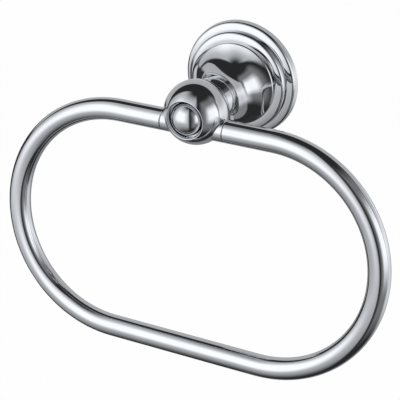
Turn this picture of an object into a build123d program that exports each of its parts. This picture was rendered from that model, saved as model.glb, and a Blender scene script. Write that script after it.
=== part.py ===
"""Wall-mounted towel ring: a stadium-shaped tube ring held by a ball head on a trumpet post and round rose.

The wall is the plane y = 0 with the room on the -Y side and +Z up. The origin is the centre of the rose
on the wall, and the post's axis runs along Y. Distances named "height" below are measured from the wall.
"""

import os
from math import sqrt

from build123d import *

# Ring tube
tube_diameter = 10.0
tube_wall = 1.0
bend_radius = 52.5
bar_straight = 74.5
ring_cant = 6.5

# Where the ring's top run crosses the head, from the ball's centre
bar_drop = 5.7
bar_lead = 1.5

# Ball head
ball_diameter = 28.6
projection = 46.0
boss_reach = 0.7
spigot_length = 7.0
seam_chamfer = 0.35
neck_root_diameter = 15.6
neck_setback = 16.8

# Button at the front of the ball, sunk in a bored recess with a tapered mouth
button_diameter = 15.2
button_rise = 6.0
button_skirt = 0.8
recess_taper = 0.6
recess_mouth = 1.2
recess_depth = 3.4
recess_round = 0.3
plug_diameter = 5.0
plug_length = 5.0

# Collar and trumpet of the post
collar_diameter = 19.6
collar_length = 3.4
collar_round = 0.4
collar_shoulder = 0.6
collar_step = 0.4
foot_lip = 1.4
foot_round = 0.8

# Two steps of the rose, from the wall outwards; the upper one stands round the bracket's recess
rose_wall = 2.85
rim_ledge = 3.35
rim_riser = 3.3
rim_slope = 0.9
upper_ledge = 4.15
upper_riser = 2.9
upper_slope = 0.8
riser_draft = 0.3
crown_radius = 9.0
edge_round = 1.6

# Hollow back of the rose and post
rim_hollow_width = 2.6
rim_hollow_depth = 1.2
web_thickness = 6.5

# Wall bracket
plate_diameter = 40.0
plate_thickness = 2.0
plate_corner = 0.5
screw_head_room = 3.0
boss_diameter = 14.0
boss_chamfer = 0.8
wall_screw_spacing = 27.0
wall_screw_hole = 4.8

# Grub screw under the post
grub_diameter = 4.0
grub_length = 6.0
grub_key = 2.0
grub_key_depth = 2.0
grub_point = 0.5
grub_inset = 4.0
grub_groove_depth = 0.6

# Screw from the post into the head
head_screw_diameter = 5.0
head_screw_reach = 8.0
head_screw_head_diameter = 8.5
head_screw_head_height = 5.0
head_screw_key = 4.0
head_screw_key_depth = 2.5
head_screw_chamfer = 0.6
blind_hole_room = 0.6

# Clearances, on the radius apart from those of the groove's sides and the boss's end
spigot_clearance = 0.05
thread_clearance = 0.05
screw_hole_clearance = 0.3
plug_clearance = 0.03
button_clearance = 0.4
socket_clearance = 0.15
plate_clearance = 0.6
groove_clearance = 0.3
boss_end_gap = 1.0

# Derived sizes
tube_radius = tube_diameter / 2
bore_radius = tube_radius - tube_wall
spigot_radius = bore_radius - spigot_clearance
bar_half = bar_straight / 2
ball_radius = ball_diameter / 2
boss_half = ball_radius + boss_reach
button_radius = button_diameter / 2
recess_bore = button_radius + button_clearance
recess_radius = recess_bore + recess_taper
recess_edge = projection + sqrt(ball_radius**2 - recess_radius**2)
button_seat = recess_edge - recess_depth
button_edge = button_seat + button_skirt
neck_height = projection - neck_setback
neck_root_height = projection - sqrt(ball_radius**2 - (neck_root_diameter / 2) ** 2)

upper_foot_height = rim_riser + rim_slope
upper_edge_height = upper_foot_height + upper_riser
upper_top_height = upper_edge_height + upper_slope
foot_height = upper_top_height + foot_lip
collar_back_height = neck_height - collar_length
collar_radius = collar_diameter / 2
throat_radius = collar_radius - collar_step
neck_foot_radius = collar_radius - collar_shoulder

web_back = neck_height - web_thickness
plate_recess_depth = plate_thickness + screw_head_room
plate_recess_radius = plate_diameter / 2 + plate_clearance
upper_radius = plate_recess_radius + rose_wall
upper_foot_radius = upper_radius + riser_draft
rim_edge_radius = upper_foot_radius + rim_ledge
rim_radius = rim_edge_radius + riser_draft
foot_radius = upper_radius - upper_ledge
socket_radius = boss_diameter / 2 + socket_clearance
boss_height = web_back - head_screw_head_height - boss_end_gap
grub_height = boss_height - grub_inset
groove_radius = boss_diameter / 2 - grub_groove_depth
groove_half = grub_diameter / 2 + groove_clearance
head_screw_radius = head_screw_diameter / 2
head_screw_tip = neck_height + head_screw_reach

os.makedirs("parts", exist_ok=True)

# Planes: the wall looking into the room, the bar's cross-section at mid span, and the ring's own plane
wall = Plane.XZ
bar_section = Plane((0, -projection - bar_lead, -bar_drop), x_dir=(0, 1, 0), z_dir=(1, 0, 0))
ring_normal = Vector(0, -1, 0).rotate(Axis.X, -ring_cant)
ring_plane = Plane(bar_section.origin, x_dir=(1, 0, 0), z_dir=ring_normal)


# Wall bracket: plate and boss, with a groove round the boss for the grub screw's point
with BuildPart() as wall_bracket:
    with BuildSketch(Plane.XY):
        with BuildLine():
            Polyline(
                (0, 0),
                (plate_diameter / 2, 0),
                (plate_diameter / 2, -plate_thickness),
                (boss_diameter / 2, -plate_thickness),
                (boss_diameter / 2, -grub_height + groove_half),
                (groove_radius, -grub_height + groove_half),
                (groove_radius, -grub_height - groove_half),
                (boss_diameter / 2, -grub_height - groove_half),
                (boss_diameter / 2, -boss_height),
                (0, -boss_height),
                close=True,
            )
        make_face()
    revolve(axis=Axis.Y)
    chamfer(wall_bracket.faces().sort_by(Axis.Y)[0].edges(), boss_chamfer)
    plate_front = wall_bracket.faces().filter_by(Axis.Y).sort_by(Axis.Y)[-2]
    fillet(plate_front.edges().sort_by(SortBy.RADIUS)[-1], plate_corner)
    with BuildSketch(wall):
        with GridLocations(0, wall_screw_spacing, 1, 2):
            Circle(wall_screw_hole / 2)
    extrude(amount=plate_thickness, mode=Mode.SUBTRACT)

# Rose and post: one turned outline, then the hollows at the back and the grub screw's hole below
with BuildPart() as rose_post:
    with BuildSketch(Plane.XY):
        with BuildLine():
            collar = Polyline(
                (0, -neck_height),
                (collar_radius, -neck_height),
                (collar_radius, -collar_back_height),
                (throat_radius, -collar_back_height),
            )
            trumpet = TangentArc(collar @ 1, (foot_radius, -foot_height), tangent=(0, 1))
            lip = Line(trumpet @ 1, (foot_radius, -upper_top_height))
            upper_crown = RadiusArc(lip @ 1, (upper_radius, -upper_edge_height), -crown_radius)
            upper_side = Line(upper_crown @ 1, (upper_foot_radius, -upper_foot_height))
            rim_crown = RadiusArc(upper_side @ 1, (rim_edge_radius, -rim_riser), -crown_radius)
            Polyline(rim_crown @ 1, (rim_radius, 0), (0, 0), collar @ 0)
        make_face()
        for corner, radius in (
            ((collar_radius, -neck_height), collar_round),
            ((foot_radius, -foot_height), foot_round),
            ((upper_radius, -upper_edge_height), edge_round),
            ((rim_edge_radius, -rim_riser), edge_round),
        ):
            fillet(vertices().sort_by_distance(corner)[0], radius)
    revolve(axis=Axis.Y)
    with BuildSketch(wall):
        Circle(rim_radius - rim_hollow_width)
    extrude(amount=rim_hollow_depth, mode=Mode.SUBTRACT)
    with BuildSketch(wall):
        Circle(plate_recess_radius)
    extrude(amount=plate_recess_depth, mode=Mode.SUBTRACT)
    with BuildSketch(wall):
        Circle(socket_radius)
    extrude(amount=web_back, mode=Mode.SUBTRACT)
    with BuildSketch(wall):
        Circle(head_screw_radius + screw_hole_clearance)
    extrude(amount=neck_height, mode=Mode.SUBTRACT)
    with BuildSketch(Plane.XY):
        with Locations((0, -grub_height)):
            Circle(grub_diameter / 2 + thread_clearance)
    extrude(amount=-foot_radius, mode=Mode.SUBTRACT)

# Grub screw: pointed set screw standing upright below the boss, point in the groove
with BuildPart() as bracket_grub_screw:
    grub_top = Plane((0, -grub_height, -groove_radius - thread_clearance))
    with BuildSketch(grub_top):
        Circle(grub_diameter / 2)
    extrude(amount=-grub_length)
    chamfer(bracket_grub_screw.faces().sort_by(Axis.Z)[-1].edges(), grub_point)
    with BuildSketch(grub_top.offset(-grub_length)):
        RegularPolygon(grub_key / 2, 6, major_radius=False)
    extrude(amount=grub_key_depth, mode=Mode.SUBTRACT)

# Ball head: ball, neck and button's recess turned as one, then the bosses and spigots on the bar's axis
with BuildPart() as ball_head:
    with BuildSketch(Plane.XY):
        with BuildLine():
            recess = Polyline(
                (0, -button_seat),
                (recess_bore, -button_seat),
                (recess_bore, -recess_edge + recess_mouth),
                (recess_radius, -recess_edge),
            )
            ball = ThreePointArc(
                recess @ 1,
                (ball_radius, -projection),
                (neck_root_diameter / 2, -neck_root_height),
            )
            Polyline(ball @ 1, (neck_foot_radius, -neck_height), (0, -neck_height), recess @ 0)
        make_face()
        fillet(vertices().sort_by_distance((recess_radius, -recess_edge))[0], recess_round)
    revolve(axis=Axis.Y)
    with BuildSketch(bar_section):
        Circle(tube_radius)
    extrude(amount=boss_half, both=True)
    boss_ends = ball_head.faces().filter_by(Axis.X).group_by(Axis.X)
    chamfer([boss_ends[0].edges(), boss_ends[-1].edges()], seam_chamfer)
    with BuildSketch(bar_section):
        Circle(spigot_radius)
    extrude(amount=boss_half + spigot_length, both=True)
    spigot_ends = ball_head.faces().filter_by(Axis.X).group_by(Axis.X)
    chamfer([spigot_ends[0].edges(), spigot_ends[-1].edges()], seam_chamfer)
    with BuildSketch(wall.offset(neck_height)):
        Circle(head_screw_radius + thread_clearance)
    extrude(amount=head_screw_reach + blind_hole_room, mode=Mode.SUBTRACT)
    with BuildSketch(wall.offset(button_seat)):
        Circle(plug_diameter / 2 + plug_clearance)
    extrude(amount=-plug_length - blind_hole_room, mode=Mode.SUBTRACT)

# Head screw: socket-head screw, head against the web inside the post
with BuildPart() as head_screw:
    with BuildSketch(wall.offset(web_back)):
        Circle(head_screw_radius)
    extrude(amount=head_screw_tip - web_back)
    with BuildSketch(wall.offset(web_back)):
        Circle(head_screw_head_diameter / 2)
    extrude(amount=-head_screw_head_height)
    chamfer(head_screw.faces().sort_by(Axis.Y)[0].edges(), head_screw_chamfer)
    with BuildSketch(wall.offset(web_back - head_screw_head_height)):
        RegularPolygon(head_screw_key / 2, 6, major_radius=False)
    extrude(amount=head_screw_key_depth, mode=Mode.SUBTRACT)

# Front button: dome with a plug pressed into the ball
with BuildPart() as front_button:
    with BuildSketch(Plane.XY):
        with BuildLine():
            dome_radius = (button_radius**2 + button_rise**2) / (2 * button_rise)
            dome = RadiusArc(
                (button_radius, -button_edge), (0, -button_edge - button_rise), dome_radius
            )
            Polyline(
                dome @ 1,
                (0, -button_seat + plug_length),
                (plug_diameter / 2, -button_seat + plug_length),
                (plug_diameter / 2, -button_seat),
                (button_radius, -button_seat),
                dome @ 0,
            )
        make_face()
    revolve(axis=Axis.Y)

# Ring: one tube bent through two half circles, its ends butting on the bosses
with BuildPart() as ring_tube:
    with BuildLine(ring_plane) as run:
        start = Line((boss_half, 0), (bar_half, 0))
        CenterArc((bar_half, -bend_radius), bend_radius, 90, -180)
        Line((bar_half, -2 * bend_radius), (-bar_half, -2 * bend_radius))
        CenterArc((-bar_half, -bend_radius), bend_radius, -90, -180)
        Line((-bar_half, 0), (-boss_half, 0))
    with BuildSketch(Plane(start @ 0, z_dir=start % 0)):
        Circle(tube_radius)
        Circle(bore_radius, mode=Mode.SUBTRACT)
    sweep()
    tube_ends = ring_tube.faces().filter_by(Axis.X).edges()
    chamfer(tube_ends.group_by(SortBy.RADIUS)[-1], seam_chamfer)

for name, piece in (
    ("wall_bracket", wall_bracket),
    ("rose_post", rose_post),
    ("bracket_grub_screw", bracket_grub_screw),
    ("ball_head", ball_head),
    ("head_screw", head_screw),
    ("front_button", front_button),
    ("ring_tube", ring_tube),
):
    piece.part.label = name
    export_step(piece.part, f"parts/{name}.step")
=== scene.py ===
"""Dresses the towel ring in bright chrome, with steel on its hidden fixing, in a white studio."""

import math

import bmesh
import bpy
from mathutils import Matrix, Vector


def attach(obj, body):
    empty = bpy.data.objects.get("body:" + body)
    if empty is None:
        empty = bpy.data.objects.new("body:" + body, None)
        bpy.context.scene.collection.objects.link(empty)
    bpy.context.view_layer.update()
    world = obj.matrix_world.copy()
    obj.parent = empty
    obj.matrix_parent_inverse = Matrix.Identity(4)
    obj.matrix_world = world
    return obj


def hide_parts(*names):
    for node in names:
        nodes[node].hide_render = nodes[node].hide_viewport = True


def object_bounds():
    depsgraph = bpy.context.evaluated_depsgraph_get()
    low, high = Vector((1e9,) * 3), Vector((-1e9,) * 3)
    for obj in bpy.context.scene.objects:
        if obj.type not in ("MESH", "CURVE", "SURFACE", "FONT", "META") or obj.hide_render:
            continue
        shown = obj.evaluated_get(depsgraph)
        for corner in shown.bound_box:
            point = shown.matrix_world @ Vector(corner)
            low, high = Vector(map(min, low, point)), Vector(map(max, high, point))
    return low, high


MM = 0.001

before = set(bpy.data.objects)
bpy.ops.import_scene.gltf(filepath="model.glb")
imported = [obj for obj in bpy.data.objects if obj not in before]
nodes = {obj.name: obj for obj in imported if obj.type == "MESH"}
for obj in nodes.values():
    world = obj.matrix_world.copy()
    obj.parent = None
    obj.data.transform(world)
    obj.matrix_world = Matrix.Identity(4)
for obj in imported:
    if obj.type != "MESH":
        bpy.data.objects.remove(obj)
cad_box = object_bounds()

scene = bpy.context.scene
scene.view_settings.view_transform = "Standard"


def linear(hex_colour):
    """Linear RGBA of an sRGB hex colour."""
    channels = [int(hex_colour[i:i + 2], 16) / 255 for i in (1, 3, 5)]
    return (*[c / 12.92 if c <= 0.04045 else ((c + 0.055) / 1.055) ** 2.4 for c in channels], 1.0)


def add_node(tree, kind, inputs=None, **settings):
    """Add a node with its settings; each input is given a value, or the socket that feeds it."""
    made = tree.nodes.new(kind)
    for name, value in settings.items():
        setattr(made, name, value)
    for name, value in (inputs or {}).items():
        if isinstance(value, bpy.types.NodeSocket):
            tree.links.new(value, made.inputs[name])
        else:
            made.inputs[name].default_value = value
    return made


def new_material(name):
    """An empty node material, its tree and its output node."""
    material = bpy.data.materials.new(name)
    material.use_nodes = True
    tree = material.node_tree
    tree.nodes.clear()
    return material, tree, tree.nodes.new("ShaderNodeOutputMaterial")


def per_metre(size_mm):
    """Texture scale for a pattern whose features are size_mm across."""
    return 1 / (size_mm * MM)


# Metals

wave_radians = 20  # a wave texture of scale 1 turns through this angle in each metre


def bright_chrome(name, haze_mm, ripple_mm):
    """Bright chrome plated on polished brass: a cool, near-perfect mirror, barely clouded by buffing."""
    material, tree, output = new_material(name)
    place = add_node(tree, "ShaderNodeTexCoord").outputs["Object"]
    haze = add_node(tree, "ShaderNodeTexNoise", {
        "Vector": place, "Scale": per_metre(haze_mm), "Detail": 4.0, "Roughness": 0.6})
    tint = add_node(tree, "ShaderNodeValToRGB", {"Fac": haze.outputs["Fac"]})
    tint.color_ramp.elements[0].color = linear("#c4c6c9")
    tint.color_ramp.elements[1].color = linear("#d0d2d5")
    gloss = add_node(tree, "ShaderNodeMapRange", {
        "Value": haze.outputs["Fac"], "From Min": 0.3, "From Max": 0.7, "To Min": 0.03, "To Max": 0.06})
    ripple = add_node(tree, "ShaderNodeTexNoise", {
        "Vector": place, "Scale": per_metre(ripple_mm), "Detail": 1.0})
    bump = add_node(tree, "ShaderNodeBump", {
        "Strength": 0.05, "Distance": 0.02 * MM, "Height": ripple.outputs["Fac"]})
    shader = add_node(tree, "ShaderNodeBsdfPrincipled", {
        "Metallic": 1.0, "Base Color": tint.outputs["Color"], "Roughness": gloss.outputs["Result"],
        "Normal": bump.outputs["Normal"]})
    tree.links.new(shader.outputs["BSDF"], output.inputs["Surface"])
    return material


def turned_steel(name, light, dark, ring_mm, cloud_mm, smoothest, roughest):
    """Turned steel: satin, clouded a little, with rings from the lathe round the post's axis.

    The rings are drawn far wider than a lathe's, so that they show.
    """
    material, tree, output = new_material(name)
    place = add_node(tree, "ShaderNodeTexCoord").outputs["Object"]
    rings = add_node(tree, "ShaderNodeTexWave", {
        "Vector": place, "Scale": per_metre(ring_mm) * math.tau / wave_radians, "Distortion": 0.4,
        "Detail": 2.0}, wave_type="RINGS", rings_direction="Y")
    cloud = add_node(tree, "ShaderNodeTexNoise", {
        "Vector": place, "Scale": per_metre(cloud_mm), "Detail": 3.0})
    tint = add_node(tree, "ShaderNodeValToRGB", {"Fac": cloud.outputs["Fac"]})
    tint.color_ramp.elements[0].color = linear(dark)
    tint.color_ramp.elements[1].color = linear(light)
    gloss = add_node(tree, "ShaderNodeMapRange", {
        "Value": rings.outputs["Fac"], "To Min": smoothest, "To Max": roughest})
    bump = add_node(tree, "ShaderNodeBump", {
        "Strength": 0.3, "Distance": 0.02 * MM, "Height": rings.outputs["Fac"]})
    shader = add_node(tree, "ShaderNodeBsdfPrincipled", {
        "Metallic": 1.0, "Base Color": tint.outputs["Color"], "Roughness": gloss.outputs["Result"],
        "Normal": bump.outputs["Normal"]})
    tree.links.new(shader.outputs["BSDF"], output.inputs["Surface"])
    return material


chrome_casting = bright_chrome("chrome_plated_brass_casting", haze_mm=9, ripple_mm=2.5)
chrome_tube = bright_chrome("chrome_plated_brass_tube", haze_mm=14, ripple_mm=3)
# Bright zinc on the bracket: pale, bluish and satin
zinc_plate = turned_steel("zinc_plated_turned_steel", "#c3c8cc", "#aab0b6", ring_mm=3.14, cloud_mm=6,
                          smoothest=0.24, roughest=0.36)
# Plain stainless on the screws: a little darker, warmer and glossier
screw_steel = turned_steel("stainless_screw_steel", "#b5b5b4", "#98989a", ring_mm=2.51, cloud_mm=6,
                           smoothest=0.2, roughest=0.32)

finishes = {
    "rose_post": chrome_casting,
    "ball_head": chrome_casting,
    "front_button": chrome_casting,
    "ring_tube": chrome_tube,
    "wall_bracket": zinc_plate,
    "bracket_grub_screw": screw_steel,
    "head_screw": screw_steel,
}
for name, finish in finishes.items():
    nodes[name].data.materials.clear()
    nodes[name].data.materials.append(finish)


# Front button

def closed_skin(node_name, piece_name, edge_degrees, merge_mm):
    """A node's own form as one closed skin, whose dome meets in one point and whose edges are crisp."""
    skin = bmesh.new()
    skin.from_mesh(nodes[node_name].data)
    bmesh.ops.remove_doubles(skin, verts=skin.verts, dist=merge_mm * MM)
    for edge in skin.edges:
        edge.smooth = edge.calc_face_angle(0) < math.radians(edge_degrees)
    mesh = bpy.data.meshes.new(piece_name)
    skin.to_mesh(mesh)
    skin.free()
    stored_normals = mesh.attributes.get("custom_normal")
    if stored_normals:
        mesh.attributes.remove(stored_normals)
    mesh.materials.append(finishes[node_name])
    piece = bpy.data.objects.new(piece_name, mesh)
    scene.collection.objects.link(piece)
    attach(piece, "root")
    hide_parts(node_name)
    return piece


# The highlight runs unbroken over the centre of the button's dome
polished_button = closed_skin("front_button", "polished_button", edge_degrees=30, merge_mm=0.001)


# Studio

object_centre = (cad_box[0] + cad_box[1]) / 2
white = (1, 1, 1, 1)
cool_white = linear("#fcfdff")


def direction(longitude, latitude):
    """Unit vector from the object: longitude 0 is straight out of the wall, positive to the right."""
    lon = math.radians(longitude)
    lat = math.radians(latitude)
    return Vector((math.sin(lon) * math.cos(lat), -math.cos(lon) * math.cos(lat), math.sin(lat)))


def studio_piece(name, shape, material):
    """A piece of the studio, which isn't part of the object, from its finished bmesh."""
    mesh = bpy.data.meshes.new(name)
    shape.to_mesh(mesh)
    shape.free()
    mesh.materials.append(material)
    piece = bpy.data.objects.new(name, mesh)
    scene.collection.objects.link(piece)
    return piece


def show_only_in_metal(piece):
    """Leave a piece of the studio to the reflections alone."""
    piece.visible_camera = False
    piece.visible_diffuse = False
    piece.visible_shadow = False


def soft_edge(tree, cover, measure, start, end):
    """A cover that comes in softly while the measure goes from start to end."""
    edge = add_node(tree, "ShaderNodeMapRange", {
        "Value": measure, "From Min": start, "From Max": end}, interpolation_type="SMOOTHSTEP")
    edged = add_node(tree, "ShaderNodeMath", {0: cover, 1: edge.outputs["Result"]}, operation="MULTIPLY")
    return edged.outputs[0]


def light_tent(radius, base_level, backdrop_turn, lights):
    """A tent of dark cloth round the object, with soft patches of light that the metal shows."""
    material, tree, output = new_material("light_tent_cloth")
    place = add_node(tree, "ShaderNodeTexCoord").outputs["Object"]
    towards = add_node(tree, "ShaderNodeVectorMath", {0: place}, operation="NORMALIZE").outputs[0]
    part = add_node(tree, "ShaderNodeSeparateXYZ", {"Vector": towards}).outputs
    ahead = add_node(tree, "ShaderNodeMath", {0: part["Y"], 1: -1.0}, operation="MULTIPLY").outputs[0]
    turn = add_node(tree, "ShaderNodeMath", {0: part["X"], 1: ahead}, operation="ARCTAN2").outputs[0]
    rise = add_node(tree, "ShaderNodeMath", {0: part["Z"]}, operation="ARCSINE").outputs[0]
    backdrop = direction(180 + backdrop_turn, 0)
    measures = {
        "longitude": add_node(tree, "ShaderNodeMath", {0: turn}, operation="DEGREES").outputs[0],
        "latitude": add_node(tree, "ShaderNodeMath", {0: rise}, operation="DEGREES").outputs[0],
        "behind": add_node(tree, "ShaderNodeVectorMath", {0: towards, 1: backdrop},
                           operation="DOT_PRODUCT").outputs["Value"],
        "slope": add_node(tree, "ShaderNodeMath", {0: part["Z"], 1: part["Y"]},
                          operation="DIVIDE").outputs[0],
    }
    total = base_level
    for level, edges in lights:
        cover = level
        for measure, start, end in edges:
            cover = soft_edge(tree, cover, measures[measure], start, end)
        total = add_node(tree, "ShaderNodeMath", {0: cover, 1: total}, operation="ADD").outputs[0]
    glow = add_node(tree, "ShaderNodeEmission", {"Color": cool_white, "Strength": total})
    tree.links.new(glow.outputs["Emission"], output.inputs["Surface"])

    shell = bmesh.new()
    bmesh.ops.create_uvsphere(shell, u_segments=64, v_segments=32, radius=radius)
    tent = studio_piece("light_tent", shell, material)
    tent.location = object_centre
    show_only_in_metal(tent)


# Each light is its level and its soft edges: what is measured, where the edge starts, where it ends
soft_key = (0.68, [
    ("longitude", -94, -86), ("longitude", 33, 19), ("latitude", -80, -14), ("latitude", 82, 56)])
key_core = (0.95, [
    ("longitude", -85, -45), ("longitude", 28, -12), ("latitude", -25, 4), ("latitude", 62, 32)])
right_light = (1.3, [
    ("longitude", 53, 76), ("longitude", 109, 103), ("latitude", -28, 0), ("latitude", 42, 16)])
right_fill = (0.24, [
    ("longitude", 34, 56), ("longitude", 130, 110), ("latitude", -58, -30), ("latitude", 62, 44)])
right_back = (0.6, [
    ("longitude", 90, 116), ("longitude", 172, 150), ("latitude", -55, -32), ("latitude", 24, -5)])
grey_backdrop = (0.29, [("behind", 0.22, 0.3), ("slope", 1.4, 1.2)])
backdrop_glow = (0.32, [("behind", 0.22, 0.3), ("slope", 1.4, 1.2), ("latitude", -25, 0)])
light_tent(radius=0.9, base_level=0.035, backdrop_turn=8, lights=[
    soft_key, key_core, right_light, right_fill, right_back, grey_backdrop, backdrop_glow])

half_card = 0.5


def dark_cloth(level, border):
    """Dark cloth on a card, which fades out towards the card's borders, by a share of its width."""
    material, tree, output = new_material("black_card")
    place = add_node(tree, "ShaderNodeTexCoord").outputs["Object"]
    part = add_node(tree, "ShaderNodeSeparateXYZ", {"Vector": place}).outputs
    cover = 1.0
    for axis in ("X", "Y"):
        across = add_node(tree, "ShaderNodeMath", {0: part[axis]}, operation="ABSOLUTE").outputs[0]
        cover = soft_edge(tree, cover, across, half_card, half_card - border)
    clear = add_node(tree, "ShaderNodeBsdfTransparent")
    cloth = add_node(tree, "ShaderNodeEmission", {"Color": cool_white, "Strength": level})
    mixed = add_node(tree, "ShaderNodeMixShader", {
        "Fac": cover, 1: clear.outputs["BSDF"], 2: cloth.outputs["Emission"]})
    tree.links.new(mixed.outputs["Shader"], output.inputs["Surface"])
    return material


card_cloth = dark_cloth(level=0.045, border=0.1)


def dark_card(name, centre, size, tilt):
    """A dark card near the ring, which the metal shows as a crisp line along the ring's outer edge."""
    sheet = bmesh.new()
    bmesh.ops.create_grid(sheet, x_segments=1, y_segments=1, size=half_card)
    card = studio_piece(name, sheet, card_cloth)
    card.location = centre
    card.rotation_euler = (0, math.radians(tilt), 0)
    card.scale = (*size, 1)
    show_only_in_metal(card)


dark_card("left_card", centre=(-160 * MM, 0, -91 * MM), size=(158 * MM, 130 * MM), tilt=90)
dark_card("lower_card", centre=(-45 * MM, -42 * MM, -130 * MM), size=(150 * MM, 50 * MM), tilt=0)


# White background and pale floor

white_level = 1.0
surrounding_level = 0.7
floor_radius = 12.0
floor_drop = 900 * MM
floor_white_share = 0.97


def seen_as_white(tree):
    """1 where the camera, metal or glass looks, which sees white, and 0 for light that falls on things."""
    path = add_node(tree, "ShaderNodeLightPath")
    seen = add_node(tree, "ShaderNodeMath", {
        0: path.outputs["Is Camera Ray"], 1: path.outputs["Is Glossy Ray"]}, operation="MAXIMUM")
    seen = add_node(tree, "ShaderNodeMath", {
        0: seen.outputs[0], 1: path.outputs["Is Transmission Ray"]}, operation="MAXIMUM")
    return seen.outputs[0]


world = bpy.data.worlds.new("white_studio")
scene.world = world
world.use_nodes = True
sky = world.node_tree
sky.nodes.clear()
strength = add_node(sky, "ShaderNodeMapRange", {
    "Value": seen_as_white(sky), "To Min": surrounding_level, "To Max": white_level})
background = add_node(sky, "ShaderNodeBackground", {
    "Color": white, "Strength": strength.outputs["Result"]})
add_node(sky, "ShaderNodeOutputWorld", {"Surface": background.outputs["Background"]})


def painted_floor():
    """Pale matt floor paint that keeps the object's shadow and looks white."""
    material, tree, output = new_material("pale_painted_floor")
    paint = add_node(tree, "ShaderNodeBsdfDiffuse", {"Color": linear("#f4f4f4")})
    glow = add_node(tree, "ShaderNodeEmission", {"Color": white, "Strength": white_level})
    share = add_node(tree, "ShaderNodeMath", {
        0: seen_as_white(tree), 1: floor_white_share}, operation="MULTIPLY")
    mixed = add_node(tree, "ShaderNodeMixShader", {
        "Fac": share.outputs[0], 1: paint.outputs["BSDF"], 2: glow.outputs["Emission"]})
    tree.links.new(mixed.outputs["Shader"], output.inputs["Surface"])
    return material


floor_sheet = bmesh.new()
bmesh.ops.create_circle(floor_sheet, cap_ends=True, segments=96, radius=floor_radius)
floor = studio_piece("studio_floor", floor_sheet, painted_floor())
floor.location = (0, 0, cad_box[0].z - floor_drop)


# Soft lamp, high at the left front

lamp_direction = direction(-25, 48)
lamp_distance = 1.6
lamp_width = 1.2
lamp_height = 1.0
lamp_watts = 12

lamp = bpy.data.lights.new("soft_key_lamp", "AREA")
lamp.shape = "RECTANGLE"
lamp.size = lamp_width
lamp.size_y = lamp_height
lamp.energy = lamp_watts
lamp_object = bpy.data.objects.new("soft_key_lamp", lamp)
lamp_object.location = object_centre + lamp_direction * lamp_distance
lamp_object.rotation_mode = "QUATERNION"
lamp_object.rotation_quaternion = (-lamp_direction).to_track_quat("-Z", "Y")
lamp_object.visible_camera = False
lamp_object.visible_glossy = False
scene.collection.objects.link(lamp_object)


# Camera at the photograph's angle, framed from the ball's centre

camera_azimuth = 27.352
camera_elevation = 26.091
camera_distance = 603.87 * MM
camera_lens = 126.209
camera_sensor = 36
ball_projection = 46 * MM
frame_right = 1.5 * MM
frame_down = 38.0 * MM

ball_centre = Vector((0, -ball_projection, 0))
back = direction(camera_azimuth, camera_elevation)
right = direction(camera_azimuth + 90, 0)
up = back.cross(right)
camera_data = bpy.data.cameras.new("photo_camera")
camera_data.lens = camera_lens
camera_data.sensor_width = camera_sensor
camera = bpy.data.objects.new("photo_camera", camera_data)
camera.location = ball_centre + right * frame_right - up * frame_down + back * camera_distance
camera.rotation_mode = "QUATERNION"
camera.rotation_quaternion = (-back).to_track_quat("-Z", "Y")
scene.collection.objects.link(camera)
scene.camera = camera
